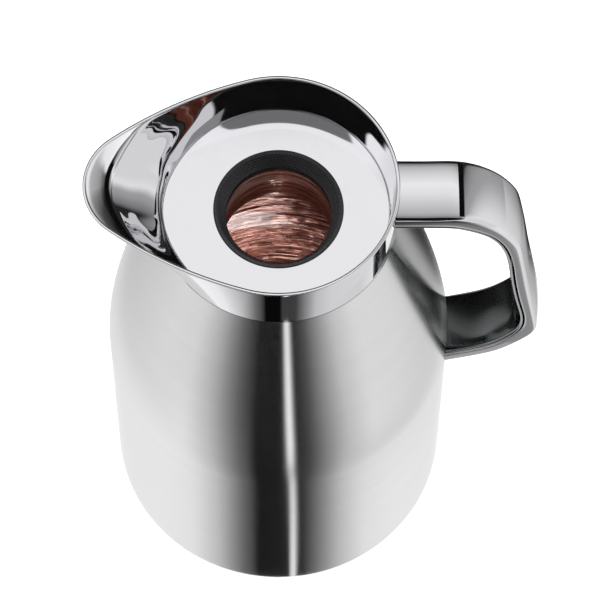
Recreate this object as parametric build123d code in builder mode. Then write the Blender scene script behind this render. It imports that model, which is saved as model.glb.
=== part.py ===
"""A thermal jug: steel shell, silvered glass flask, chromed collar with a spout, strap handle.

Millimetres. The origin is on the jug's axis, on the surface it stands on. +Z is up, the handle
is on +X and the spout on -X.
"""

from build123d import *
from math import asin, cos, pi, radians, sin, sqrt, tan
import os

# Steel shell
shell_radius = 70.0
shell_wall = 0.7
shell_lift = 0.6
shell_base_round = 2.4
shell_hem_width = 3.8
shoulder_start = 114.6
shoulder_upper_bulge = 31.3
mouth_radius = 46.4
mouth_bulge_radius = 54.5
mouth_bulge_drop = 29.4
mouth_flange_radius = 41.0

# Collar and spout
collar_bottom = 226.7
collar_height = 25.6
collar_rim_radius = 46.7
collar_wall = 1.5
rim_round = 0.5
spout_reach = 75.2
spout_tip_radius = 24.0
spout_flank_radius = 162.0
outline_steps = 14
outline_crowding = 1.3
basin_foot_inset = 1.1
basin_foot_reach = 0.067
basin_cove = 2.2
basin_cove_reach = 0.08
# Share of the collar's height, and share of the spout's reach there
collar_sections = ((0.0, 0.0), (0.34, 0.36), (0.68, 0.7), (1.0, 1.0))
# Share of the basin's depth, outward swell there, and share of the spout's reach. The spout's
# floor climbs as far as the third section, and its lip is nearly level from there.
basin_sections = ((0.36, 0.3, 0.1), (0.63, 0.6, 0.38), (0.9, 0.98, 0.65), (0.965, 1.07, 0.8))
spigot_radius = 40.6
spigot_wall = 2.1
spigot_length = 20.0
ledge_thickness = 1.7
lock_ring_radius = 45.0
lock_ring_height = 6.4
lock_notch_count = 6
lock_notch_depth = 1.5
lock_notch_width = 5.0
lock_notch_height = 4.9

# Deck plate and neck gasket
deck_thickness = 1.2
deck_radius = 44.0
deck_hole_radius = 25.2
neck_gasket_radius = 25.1
neck_gasket_bore = 20.6
neck_gasket_skirt = 2.0
neck_gasket_land = 1.4
neck_gasket_flange_height = 5.2
neck_gasket_rise = 0.2
neck_gasket_flange_radius = 29.0
funnel_step = 0.5
funnel_rim = 1.0
funnel_chamfer = 0.4
neck_rib_count = 3
neck_rib_start = 0.7
neck_rib_radius = 0.35

# Glass flask
flask_radius = 52.0
flask_neck_radius = 21.5
flask_floor = 24.0
flask_floor_depth = 30.0
flask_floor_flat = 0.62
flask_floor_pull = 8.0
flask_neck_foot = 205.0
flask_shoulder_start = 140.0
flask_shoulder_pull = 42.0
flask_neck_pull = 32.0
flask_shoulder_swell = 0.6
glass_wall = 1.5
vacuum_gap = 3.5
neck_vacuum_gap = 1.6
lip_height = 1.5
tip_radius = 3.4
tip_length = 4.0
spacer_count = 3
spacer_height = 70.0
spacer_radius = 6.0
spacer_excess = 2.0

# Rubber rings
seal_thickness = 0.5
collar_seal_setback = 0.5
bumper_inner_radius = 33.0
bumper_outer_radius = 43.0
bumper_depth = 27.0

# Base
base_ring_wall = 3.9
base_ring_height = 17.0
base_lip_width = 2.5
base_lip_thickness = 2.0
base_ring_step = 1.8
base_ring_step_inset = 0.4
foot_ring_width = 2.0
foot_ring_height = 2.0
foot_ring_setback = 2.1
foot_ring_round = 0.3
foot_lift = 0.8
cap_recess = 1.6
cap_floor = 2.4
cap_wall = 1.7
cap_boss_radius = 24.0
cap_boss_height = 2.0
cap_rib_count = 12
cap_rib_width = 1.6
cap_chamfer = 0.6
coin_slot_length = 36.0
coin_slot_width = 3.6
coin_slot_depth = 2.6
cushion_radius = 40.0
cushion_hole_radius = 12.0
cushion_grip_height = 9.0
cushion_slot_count = 8
cushion_slot_width = 5.0
cushion_slot_length = 16.0
cushion_slot_height = 4.0
cushion_slot_inset = 6.0

# Handle
handle_width = 26.0
handle_drop = 4.6
handle_standoff = 36.2
handle_span = 97.7
handle_bury = 2.7
arm_thickness = 8.2
grip_crown = 1.9
foot_thickness = 8.8
foot_slope = 24.0
foot_bury = 4.0
# Points on the handle's outer line over the bend and the grip: how far they lie behind the
# reach and below the top, and how thick the whole handle is there
bend_line = (
    (48.2, 0.0, 8.2),
    (35.7, 0.4, 8.8),
    (26.0, 5.4, 8.4),
    (19.8, 11.7, 7.4),
    (14.5, 20.2, 7.2),
    (9.6, 32.2, 8.1),
    (6.4, 55.2, 8.1),
)
# The same round the knee, with the level counted down from the knee's own
knee_line = (
    (2.6, -16.5, 8.1),
    (0.0, 0.0, 8.5),
    (1.1, 11.7, 9.0),
    (6.8, 21.6, 8.5),
    (16.2, 32.0, 8.8),
    (25.9, 37.6, 8.8),
)
handle_skin = 2.0
handle_side_wall = 2.2
handle_edge_round = 2.0
cover_thickness = 1.3
cover_edge_round = 0.9
cover_rail_height = 0.6
cover_rail_width = 1.4
tongue_width = 16.0
tongue_length = 15.0
tongue_thickness = 2.4
tongue_root = 1.0
lower_tongue_extra = 4.0
lower_tongue_gap = 0.33
screw_radius = 1.5
screw_head_radius = 2.8
screw_head_height = 1.4
screw_reach = 1.4
screw_setback = 5.0
screw_socket_radius = 1.1
screw_socket_depth = 0.8

# Clearances
seat_gap = 0.3
slip_gap = 0.1
fit_gap = 0.05
parting_gap = 0.4
cut_excess = 10.0

# Levels and radii that follow from the sizes above
shell_top = collar_bottom - seal_thickness
collar_top = collar_bottom + collar_height
ledge_top = collar_bottom + ledge_thickness
deck_bottom = ledge_top + seal_thickness
deck_top = deck_bottom + deck_thickness
rim_inner_radius = collar_rim_radius - collar_wall
shell_hem_radius = shell_radius - shell_hem_width
base_ring_bore = shell_hem_radius - base_ring_wall
foot_ring_radius = shell_hem_radius - foot_ring_setback
lip_top = deck_bottom - neck_gasket_flange_height
glass_shift = 2 * glass_wall + vacuum_gap
cap_top = shell_lift + base_ring_height - base_lip_thickness
handle_top = collar_top - handle_drop
handle_reach = shell_radius + handle_standoff


def bottle_radii(shift, neck_shift):
    """The radii and levels of a bottle surface that lies shift outside the inner bottle's bore."""
    return flask_radius + shift, flask_neck_radius + neck_shift, flask_floor - shift


def draw_bottle_line(shift, neck_shift, top):
    """The outline of a bottle from the axis at its floor to its neck at the level top."""
    radius, neck, floor = bottle_radii(shift, neck_shift)
    side_foot = floor + flask_floor_depth
    rise = flask_shoulder_swell * shift
    Bezier(
        (0, floor),
        (flask_floor_flat * radius, floor),
        (radius, floor + flask_floor_pull),
        (radius, side_foot),
    )
    Line((radius, side_foot), (radius, flask_shoulder_start + rise))
    Bezier(
        (radius, flask_shoulder_start + rise),
        (radius, flask_shoulder_start + rise + flask_shoulder_pull),
        (neck, flask_neck_foot + rise - flask_neck_pull),
        (neck, flask_neck_foot + rise),
    )
    Line((neck, flask_neck_foot + rise), (neck, top))


def bottle_solid(shift, neck_shift, top):
    """A solid bottle whose surface lies shift outside the inner bottle's bore."""
    with BuildPart(mode=Mode.PRIVATE) as bottle:
        with BuildSketch(Plane.XZ):
            with BuildLine():
                draw_bottle_line(shift, neck_shift, top)
                Line((flask_neck_radius + neck_shift, top), (0, top))
                Line((0, top), (0, flask_floor - shift))
            make_face()
        revolve(axis=Axis.Z)
    return bottle.part


def ring(inner, outer, low, high):
    """A plain turned ring about the jug's axis."""
    with BuildPart(mode=Mode.PRIVATE) as turned:
        with BuildSketch(Plane.XY.offset(low)):
            Circle(outer)
            Circle(inner, mode=Mode.SUBTRACT)
        extrude(amount=high - low)
    return turned.part


def teardrop_radius(angle, inset):
    """Distance from the axis to the rim outline, at an angle in radians from the spout's middle.

    The outline is the collar's circle, the spout tip's circle and a large arc that touches both.
    """
    big = collar_rim_radius - inset
    small = spout_tip_radius - inset
    flank = spout_flank_radius - inset
    tip_x = spout_reach - spout_tip_radius
    centre_x = ((flank - small) ** 2 - (flank - big) ** 2 - tip_x**2) / (2 * tip_x)
    centre_y = -sqrt((flank - big) ** 2 - centre_x**2)
    big_touch = pi / 2 - asin(centre_x / (flank - big))
    touch_x = tip_x + small * (tip_x + centre_x) / (flank - small)
    touch_y = -small * centre_y / (flank - small)
    tip_touch = asin(touch_y / sqrt(touch_x**2 + touch_y**2))
    if angle >= big_touch:
        return big
    if angle <= tip_touch:
        return tip_x * cos(angle) + sqrt(small**2 - (tip_x * sin(angle)) ** 2)
    along = -centre_x * cos(angle) + centre_y * sin(angle)
    return along + sqrt(flank**2 - centre_x**2 - centre_y**2 + along**2)


def draw_collar_outline(radius, reach, inset):
    """A closed collar section. reach runs from 0, a plain circle, to 1, the rim's full spout."""
    half = []
    for step in range(outline_steps + 1):
        angle = pi * (1 - step / outline_steps) ** outline_crowding
        swell = teardrop_radius(angle, inset) - (collar_rim_radius - inset)
        distance = radius + reach * swell
        half.append((-distance * cos(angle), distance * sin(angle)))
    other_half = [(x, -y) for x, y in reversed(half[1:-1])]
    Spline(*half, *other_half, periodic=True)


# Steel shell: a thin turned wall with a hem below and a flange round its mouth
with BuildPart() as outer_shell:
    with BuildSketch(Plane.XZ):
        with BuildLine():
            hem = (shell_hem_radius, shell_lift)
            Line(hem, (shell_radius - shell_base_round, shell_lift))
            RadiusArc(
                (shell_radius - shell_base_round, shell_lift),
                (shell_radius, shell_lift + shell_base_round),
                -shell_base_round,
            )
            Line((shell_radius, shell_lift + shell_base_round), (shell_radius, shoulder_start))
            Bezier(
                (shell_radius, shoulder_start),
                (shell_radius, shoulder_start + shoulder_upper_bulge),
                (mouth_bulge_radius, shell_top - mouth_bulge_drop),
                (mouth_radius, shell_top),
            )
            Line((mouth_radius, shell_top), (mouth_flange_radius, shell_top))
            inner_radius = shell_radius - shell_wall
            inner_top = shell_top - shell_wall
            Line((mouth_flange_radius, shell_top), (mouth_flange_radius, inner_top))
            Line((mouth_flange_radius, inner_top), (mouth_radius - shell_wall, inner_top))
            Bezier(
                (mouth_radius - shell_wall, inner_top),
                (mouth_bulge_radius - shell_wall, inner_top - mouth_bulge_drop),
                (inner_radius, shoulder_start + shoulder_upper_bulge),
                (inner_radius, shoulder_start),
            )
            Line((inner_radius, shoulder_start), (inner_radius, shell_lift + shell_base_round))
            RadiusArc(
                (inner_radius, shell_lift + shell_base_round),
                (shell_radius - shell_base_round, shell_lift + shell_wall),
                shell_base_round - shell_wall,
            )
            hem_top = (shell_hem_radius, shell_lift + shell_wall)
            Line((shell_radius - shell_base_round, shell_lift + shell_wall), hem_top)
            Line(hem_top, hem)
        make_face()
    revolve(axis=Axis.Z)
outer_shell.part.label = "outer_shell"

# Handle side view: stations on its outer line, with the strap's whole thickness there. The arm
# starts in the collar's rim, and the foot ends in the shell.
knee_level = handle_top - handle_span
stations = [(collar_rim_radius - handle_bury, handle_top, arm_thickness)]
for setback, drop, thickness in bend_line:
    stations.append((handle_reach - setback, handle_top - drop, thickness))
for setback, drop, thickness in knee_line:
    stations.append((handle_reach - setback, knee_level - drop, thickness))
foot_end = shell_radius - foot_bury
foot_fall = (stations[-1][0] - foot_end) * tan(radians(foot_slope))
stations.append((foot_end, stations[-1][1] - foot_fall, foot_thickness))
arm_run = (1, 0)
foot_turn = (-cos(radians(foot_slope)), -sin(radians(foot_slope)))


def inward_normal(index):
    """The unit vector from the handle's outer line towards its inner line at a station."""
    before = stations[max(index - 1, 0)]
    after = stations[min(index + 1, len(stations) - 1)]
    run = Vector(after[0] - before[0], after[1] - before[1]).normalized()
    return Vector(run.Y, -run.X)


def handle_line(depth, from_inside=False):
    """Points that lie a depth below the outer line, or above the inner line."""
    points = []
    for index, (x, z, thickness) in enumerate(stations):
        offset = thickness - depth if from_inside else depth
        normal = inward_normal(index)
        points.append((x + normal.X * offset, z + normal.Y * offset))
    return points


def handle_band(outer_points, inner_points, width):
    """A strap between two side view lines, centred on the jug's middle plane."""
    with BuildPart(mode=Mode.PRIVATE) as band:
        with BuildSketch(Plane.XZ):
            with BuildLine():
                Spline(*outer_points, tangents=(arm_run, foot_turn))
                Spline(*inner_points, tangents=(arm_run, foot_turn))
                Line(outer_points[0], inner_points[0])
                Line(outer_points[-1], inner_points[-1])
            make_face()
        extrude(amount=width / 2, both=True)
    return band.part


def long_edges(part, count):
    """The longest edges on the strap's two flat sides."""
    near = part.faces().sort_by(Axis.Y)[0].edges().sort_by(SortBy.LENGTH)[-count:]
    far = part.faces().sort_by(Axis.Y)[-1].edges().sort_by(SortBy.LENGTH)[-count:]
    return near, far


def jug_room(clearance):
    """The space of the collar and the shell's straight side, which the handle stays out of."""
    with BuildPart(mode=Mode.PRIVATE) as room:
        with BuildSketch(Plane.XY):
            Circle(shell_radius + clearance)
        extrude(amount=shoulder_start + shoulder_upper_bulge)
        with BuildSketch(Plane.XY):
            Circle(collar_rim_radius + clearance)
        extrude(amount=collar_top + cut_excess)
    return room.part


def crown_room():
    """A long bar along the grip with a crowned, round-cornered front, which trims the strap."""
    top_x, top_z, _ = stations[6]
    low_x, low_z, _ = stations[8]
    grip_run = Vector(low_x - top_x, 0, low_z - top_z).normalized()
    across = Plane(origin=(top_x, 0, top_z), x_dir=(-grip_run.Z, 0, grip_run.X), z_dir=grip_run)
    side = handle_width / 2
    with BuildPart(mode=Mode.PRIVATE) as bar:
        with BuildSketch(across) as front:
            with BuildLine():
                ThreePointArc((-grip_crown, -side), (0, 0), (-grip_crown, side))
                Polyline(
                    (-grip_crown, side),
                    (-handle_reach, side),
                    (-handle_reach, -side),
                    (-grip_crown, -side),
                )
            make_face()
            fillet(front.vertices().sort_by(Axis.X)[-2:], radius=handle_edge_round)
        extrude(amount=2 * handle_span, both=True)
    return bar.part


outer_line = handle_line(0)
skin_line = handle_line(handle_skin)
parting_line = handle_line(cover_thickness + parting_gap, from_inside=True)
cover_line = handle_line(cover_thickness, from_inside=True)
inner_line = handle_line(0, from_inside=True)
rail_line = handle_line(cover_thickness + cover_rail_height, from_inside=True)
channel_width = handle_width - 2 * handle_side_wall

# Tongues that carry the handle: one moulded on the collar, one welded on the shell
upper_tongue_top = handle_top - handle_skin - slip_gap
upper_screw = Plane(
    origin=(collar_rim_radius + tongue_length - screw_setback, 0, upper_tongue_top),
    x_dir=(1, 0, 0),
    z_dir=(0, 0, 1),
)
foot_run = Vector(outer_line[-2][0] - outer_line[-1][0], 0, outer_line[-2][1] - outer_line[-1][1])
foot_run = foot_run.normalized()
foot_down = Vector(foot_run.Z, 0, -foot_run.X)
foot_root = Vector(outer_line[-1][0], 0, outer_line[-1][1])
lower_tongue_start = foot_root - foot_down * (handle_skin + lower_tongue_gap)
lower_tongue = Plane(origin=lower_tongue_start, x_dir=foot_run, z_dir=foot_down)
lower_screw = Plane(
    origin=lower_tongue_start + foot_run * (tongue_length - screw_setback + lower_tongue_extra),
    x_dir=foot_run,
    z_dir=foot_down,
)


def screw_solid(plane, clearance):
    """A countersunk screw whose head is level with the tongue's inner side."""
    with BuildPart(mode=Mode.PRIVATE) as screw:
        with BuildSketch(plane.offset(-tongue_thickness)):
            Circle(screw_head_radius + clearance)
        with BuildSketch(plane.offset(-tongue_thickness + screw_head_height)):
            Circle(screw_radius + clearance)
        loft()
        with BuildSketch(plane.offset(-tongue_thickness + screw_head_height)):
            Circle(screw_radius + clearance)
        extrude(amount=tongue_thickness - screw_head_height + screw_reach + clearance)
    return screw.part


# Collar: a lofted spout and basin, a ledge for the deck plate and a threaded spigot below it
with BuildPart() as spout_collar:
    for level, reach in collar_sections:
        radius = mouth_radius + level * (collar_rim_radius - mouth_radius)
        with BuildSketch(Plane.XY.offset(collar_bottom + level * collar_height)):
            with BuildLine():
                draw_collar_outline(radius, reach, 0)
            make_face()
    loft()
    basin_height = collar_top - deck_top
    basin_radius = deck_radius + slip_gap
    cove_levels = (
        (0.0, basin_radius - basin_foot_inset, basin_foot_reach),
        (basin_cove / basin_height, basin_radius, basin_cove_reach),
    )
    wall_levels = (
        cove_levels[-1],
        *((level, basin_radius + swell, reach) for level, swell, reach in basin_sections),
        (1.0, rim_inner_radius, 1.0),
    )
    for levels, straight in ((cove_levels, True), (wall_levels, False)):
        for level, radius, reach in levels:
            with BuildSketch(Plane.XY.offset(deck_top + level * basin_height)):
                with BuildLine():
                    draw_collar_outline(radius, reach, collar_wall)
                make_face()
        loft(ruled=straight, mode=Mode.SUBTRACT)
    with BuildSketch(Plane.XY.offset(ledge_top)):
        with BuildLine():
            draw_collar_outline(basin_radius - basin_foot_inset, basin_foot_reach, collar_wall)
        make_face()
    extrude(amount=deck_top - ledge_top, mode=Mode.SUBTRACT)
    fillet(spout_collar.edges().group_by(Axis.Z)[-1], radius=rim_round)
    with BuildSketch(Plane.XY.offset(collar_bottom - spigot_length)):
        Circle(spigot_radius)
    extrude(amount=spigot_length)
    with BuildSketch(Plane.XY.offset(collar_bottom - spigot_length)):
        Circle(spigot_radius - spigot_wall)
    extrude(amount=spigot_length + ledge_thickness, mode=Mode.SUBTRACT)
    with BuildSketch(Plane.XY.offset(upper_tongue_top - tongue_thickness)):
        with Locations((collar_rim_radius + (tongue_length - tongue_root) / 2, 0)):
            Rectangle(tongue_length + tongue_root, tongue_width)
    extrude(amount=tongue_thickness)
    add(screw_solid(upper_screw, fit_gap), mode=Mode.SUBTRACT)
spout_collar.part.label = "spout_collar"

# Ring nut that clamps the shell's mouth flange against the collar
with BuildPart() as collar_lock_ring:
    lock_top = shell_top - shell_wall
    add(ring(spigot_radius + fit_gap, lock_ring_radius, lock_top - lock_ring_height, lock_top))
    with BuildSketch(Plane.XY.offset(lock_top - lock_ring_height)):
        with PolarLocations(lock_ring_radius, lock_notch_count):
            Rectangle(2 * lock_notch_depth, lock_notch_width)
    extrude(amount=lock_notch_height, mode=Mode.SUBTRACT)
collar_lock_ring.part.label = "collar_lock_ring"

# Flat seals above and below the collar's ledge
with BuildPart() as collar_seal:
    add(ring(mouth_flange_radius, mouth_radius - collar_seal_setback, shell_top, collar_bottom))
collar_seal.part.label = "collar_seal"

with BuildPart() as deck_seal:
    add(ring(spigot_radius - spigot_wall, deck_radius - basin_foot_inset, ledge_top, deck_bottom))
deck_seal.part.label = "deck_seal"

# Deck plate: the bright floor round the mouth
with BuildPart() as deck_plate:
    with BuildSketch(Plane.XY.offset(deck_bottom)):
        with BuildLine():
            draw_collar_outline(deck_radius - basin_foot_inset, basin_foot_reach, collar_wall)
        make_face()
        Circle(deck_hole_radius, mode=Mode.SUBTRACT)
    extrude(amount=deck_thickness)
deck_plate.part.label = "deck_plate"

# Neck gasket: a rubber ring that seals the flask's lip to the deck plate. Its skirt reaches into
# the flask's neck, and ribs run round its funnel.
with BuildPart() as neck_gasket:
    gasket_top = deck_top + neck_gasket_rise
    land_top = lip_top + neck_gasket_land
    flange_top = deck_bottom - fit_gap
    skirt_radius = flask_neck_radius - fit_gap
    funnel_foot = neck_gasket_bore + funnel_step
    funnel_top = neck_gasket_radius - funnel_rim
    with BuildSketch(Plane.XZ):
        with BuildLine():
            Polyline(
                (neck_gasket_bore, lip_top - neck_gasket_skirt),
                (skirt_radius, lip_top - neck_gasket_skirt),
                (skirt_radius, lip_top),
                (neck_gasket_flange_radius, lip_top),
                (neck_gasket_flange_radius, flange_top),
                (neck_gasket_radius, flange_top),
                (neck_gasket_radius, gasket_top - funnel_chamfer),
                (neck_gasket_radius - funnel_chamfer, gasket_top),
                (funnel_top, gasket_top),
                (funnel_foot, land_top),
                (neck_gasket_bore, land_top),
                close=True,
            )
        make_face()
        for rib in range(neck_rib_count):
            share = (rib + neck_rib_start) / neck_rib_count
            rib_radius = funnel_foot + share * (funnel_top - funnel_foot)
            with Locations((rib_radius, land_top + share * (gasket_top - land_top))):
                Circle(neck_rib_radius)
    revolve(axis=Axis.Z)
neck_gasket.part.label = "neck_gasket"

# Flask: two blown glass bottles, one inside the other, that meet at the lip
with BuildPart() as flask_inner_glass:
    add(bottle_solid(glass_wall, glass_wall, lip_top))
    with BuildSketch(Plane.XY.offset(lip_top - lip_height)):
        Circle(flask_neck_radius + 2 * glass_wall + neck_vacuum_gap)
    extrude(amount=lip_height)
    add(bottle_solid(0, 0, lip_top), mode=Mode.SUBTRACT)
flask_inner_glass.part.label = "flask_inner_glass"

neck_outside = 2 * glass_wall + neck_vacuum_gap
with BuildPart() as flask_outer_glass:
    add(bottle_solid(glass_shift, neck_outside, lip_top - lip_height))
    add(
        bottle_solid(glass_wall + vacuum_gap, glass_wall + neck_vacuum_gap, lip_top),
        mode=Mode.SUBTRACT,
    )
    with BuildSketch(Plane.XY.offset(flask_floor - glass_shift + glass_wall / 2)):
        Circle(tip_radius)
    extrude(amount=-tip_length - glass_wall / 2, taper=20)
flask_outer_glass.part.label = "flask_outer_glass"

# Spacer discs that hold the two bottles apart
with BuildPart() as flask_spacers:
    spacer_middle = flask_radius + glass_wall + vacuum_gap / 2
    for index in range(spacer_count):
        turn = 2 * pi * index / spacer_count
        outward = Vector(cos(turn), sin(turn), 0)
        spacer_centre = outward * spacer_middle + Vector(0, 0, spacer_height)
        with BuildSketch(Plane(origin=spacer_centre, z_dir=outward)):
            Circle(spacer_radius)
        extrude(amount=vacuum_gap / 2 + spacer_excess, both=True)
    spacer_limit = ring(
        flask_radius + glass_wall + fit_gap,
        flask_radius + glass_wall + vacuum_gap - fit_gap,
        spacer_height - 2 * spacer_radius,
        spacer_height + 2 * spacer_radius,
    )
    add(spacer_limit, mode=Mode.INTERSECT)
flask_spacers.part.label = "flask_spacers"

# Rubber ring between the collar's spigot and the flask's shoulder
with BuildPart() as shoulder_bumper:
    bumper_top = collar_bottom - spigot_length - slip_gap
    add(ring(bumper_inner_radius, bumper_outer_radius, bumper_top - bumper_depth, bumper_top))
    flask_room = bottle_solid(glass_shift + slip_gap, neck_outside + slip_gap, lip_top)
    add(flask_room, mode=Mode.SUBTRACT)
shoulder_bumper.part.label = "shoulder_bumper"

# Base ring: fixed in the shell's foot, with the thread for the service cap and the foot groove
with BuildPart() as base_ring:
    ring_foot = shell_lift + shell_wall
    ring_top = shell_lift + base_ring_height
    step_top = ring_foot + base_ring_step
    step_radius = shell_radius - shell_base_round - base_ring_step_inset
    add(ring(base_ring_bore, inner_radius - slip_gap, step_top, ring_top))
    add(ring(base_ring_bore, step_radius, ring_foot, step_top))
    add(ring(base_ring_bore, shell_hem_radius - slip_gap, foot_lift, ring_foot))
    add(ring(base_ring_bore - base_lip_width, base_ring_bore, ring_top - base_lip_thickness, ring_top))
    groove_inner = foot_ring_radius - foot_ring_width / 2 - fit_gap
    groove_outer = foot_ring_radius + foot_ring_width / 2 + fit_gap
    add(ring(groove_inner, groove_outer, foot_lift, foot_ring_height), mode=Mode.SUBTRACT)
base_ring.part.label = "base_ring"

with BuildPart() as foot_ring:
    foot_inner = foot_ring_radius - foot_ring_width / 2
    foot_outer = foot_ring_radius + foot_ring_width / 2
    add(ring(foot_inner, foot_outer, 0, foot_ring_height))
    fillet(foot_ring.edges().group_by(Axis.Z)[0], radius=foot_ring_round)
foot_ring.part.label = "foot_ring"

# Service cap: screws up into the base ring and holds the flask on its cushion
cap_radius = base_ring_bore - seat_gap
seal_bottom = cap_top - seal_thickness
with BuildPart() as base_cap:
    cap_foot = cap_recess
    cap_floor_top = cap_foot + cap_floor
    add(ring(cap_radius - cap_wall, cap_radius, cap_foot, seal_bottom))
    with BuildSketch(Plane.XY.offset(cap_foot)):
        Circle(cap_radius)
    extrude(amount=cap_floor)
    with BuildSketch(Plane.XY.offset(cap_floor_top)):
        Circle(cap_boss_radius)
    extrude(amount=cap_boss_height)
    with BuildSketch(Plane.XY.offset(cap_foot)):
        SlotOverall(coin_slot_length, coin_slot_width)
    extrude(amount=coin_slot_depth, mode=Mode.SUBTRACT)
    with BuildSketch(Plane.XY.offset(cap_floor_top)):
        rib_outside = cap_radius - cap_wall
        with PolarLocations((cap_boss_radius + rib_outside) / 2, cap_rib_count):
            Rectangle(rib_outside - cap_boss_radius + cap_wall, cap_rib_width)
    extrude(amount=cap_boss_height)
    chamfer(base_cap.edges().group_by(Axis.Z)[0].sort_by(SortBy.LENGTH)[-1], length=cap_chamfer)
base_cap.part.label = "base_cap"

with BuildPart() as base_seal:
    add(ring(cap_radius - cap_wall, cap_radius - slip_gap, seal_bottom, cap_top))
base_seal.part.label = "base_seal"

# Cushion: a rubber cup on the cap that carries the flask's floor
with BuildPart() as flask_cushion:
    cushion_foot = cap_floor_top + cap_boss_height
    cushion_top = flask_floor - glass_shift + cushion_grip_height
    add(ring(cushion_hole_radius, cushion_radius, cushion_foot, cushion_top))
    flask_rest = bottle_solid(glass_shift + seat_gap, neck_outside + seat_gap, lip_top)
    add(flask_rest, mode=Mode.SUBTRACT)
    with BuildSketch(Plane.XY.offset(cushion_foot)):
        with PolarLocations(cushion_radius - cushion_slot_inset, cushion_slot_count):
            Rectangle(cushion_slot_length, cushion_slot_width)
    extrude(amount=cushion_slot_height, mode=Mode.SUBTRACT)
flask_cushion.part.label = "flask_cushion"

# Handle strap: a channel that is open towards the hand, with rounded outer edges
with BuildPart() as handle_strap:
    strap = handle_band(outer_line, parting_line, handle_width)
    add(strap)
    near, far = long_edges(handle_strap, 1)
    fillet(near + far, radius=handle_edge_round)
    add(crown_room(), mode=Mode.INTERSECT)
    add(handle_band(skin_line, inner_line, channel_width), mode=Mode.SUBTRACT)
    add(jug_room(slip_gap), mode=Mode.SUBTRACT)
    for screw_plane in (upper_screw, lower_screw):
        add(screw_solid(screw_plane, fit_gap), mode=Mode.SUBTRACT)
handle_strap.part.label = "handle_strap"

# Rails on the handle cover, which locate it in the channel
with BuildPart() as cover_rails:
    rail_outside = channel_width - 2 * fit_gap
    rail_inside = rail_outside - 2 * cover_rail_width
    add(handle_band(rail_line, cover_line, rail_outside))
    add(handle_band(rail_line, cover_line, rail_inside), mode=Mode.SUBTRACT)

# Handle cover: closes the channel on the hand side
with BuildPart() as handle_cover:
    add(handle_band(cover_line, inner_line, handle_width))
    near, far = long_edges(handle_cover, 2)
    fillet(near[:1] + far[:1], radius=cover_edge_round)
    add(cover_rails.part)
    add(jug_room(slip_gap), mode=Mode.SUBTRACT)
handle_cover.part.label = "handle_cover"

# Bracket welded on the shell, inside the handle's lower end
with BuildPart() as lower_bracket:
    with BuildSketch(lower_tongue.offset(-tongue_thickness)):
        bracket_length = tongue_length + lower_tongue_extra
        with Locations((bracket_length / 2, 0)):
            Rectangle(bracket_length, tongue_width)
    extrude(amount=tongue_thickness)
    add(jug_room(fit_gap), mode=Mode.SUBTRACT)
    add(screw_solid(lower_screw, fit_gap), mode=Mode.SUBTRACT)
lower_bracket.part.label = "lower_bracket"

with BuildPart() as handle_screws:
    for screw_plane in (upper_screw, lower_screw):
        add(screw_solid(screw_plane, 0))
        with BuildSketch(screw_plane.offset(-tongue_thickness)):
            RegularPolygon(screw_socket_radius, 6)
        extrude(amount=screw_socket_depth, mode=Mode.SUBTRACT)
handle_screws.part.label = "handle_screws"

pieces = [
    outer_shell,
    spout_collar,
    collar_lock_ring,
    collar_seal,
    deck_seal,
    deck_plate,
    neck_gasket,
    flask_inner_glass,
    flask_outer_glass,
    flask_spacers,
    shoulder_bumper,
    base_ring,
    foot_ring,
    base_cap,
    base_seal,
    flask_cushion,
    handle_strap,
    handle_cover,
    lower_bracket,
    handle_screws,
]
os.makedirs("parts", exist_ok=True)
for piece in pieces:
    export_step(piece.part, f"parts/{piece.part.label}.step")
    print(piece.part.label, round(piece.part.volume), "mm3")
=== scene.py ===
# %% [markdown]
# # A thermal jug, open and seen from above
# The jug has a brushed steel shell, a polished chrome collar with a pouring spout, a bright deck
# plate round a rubber neck ring, a copper-mirrored glass flask, and a chrome strap handle. The
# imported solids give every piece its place. The polished ones are built again here with smooth
# skins, because chrome shows each facet of a plain triangle mesh.

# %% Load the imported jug
from math import asin, cos, pi, radians, sin, sqrt, tan

import bmesh
import bpy
import numpy as np
from mathutils import Matrix, Vector, noise
from mathutils.geometry import interpolate_bezier


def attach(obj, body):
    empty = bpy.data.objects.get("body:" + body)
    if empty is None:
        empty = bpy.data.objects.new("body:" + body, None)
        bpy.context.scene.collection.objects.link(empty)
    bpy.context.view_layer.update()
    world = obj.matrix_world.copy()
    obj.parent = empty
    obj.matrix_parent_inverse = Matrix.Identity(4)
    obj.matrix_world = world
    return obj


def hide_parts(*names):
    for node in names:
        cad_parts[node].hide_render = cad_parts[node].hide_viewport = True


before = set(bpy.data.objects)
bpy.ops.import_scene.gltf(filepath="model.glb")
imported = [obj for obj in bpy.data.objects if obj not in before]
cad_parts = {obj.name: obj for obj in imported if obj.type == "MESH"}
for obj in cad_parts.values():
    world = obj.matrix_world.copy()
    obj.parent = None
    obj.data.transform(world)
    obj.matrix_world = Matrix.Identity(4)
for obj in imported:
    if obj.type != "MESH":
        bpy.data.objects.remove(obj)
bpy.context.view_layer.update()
mm = 0.001

# %% [markdown]
# ## Camera
# The photograph looks down on the jug at a steep angle from far away, so the sides hardly
# converge. A long lens far off gives that. The camera is turned a little off the jug's middle,
# by so many pixels aside and up, which frames it as the photograph does without any lens shift.

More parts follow.
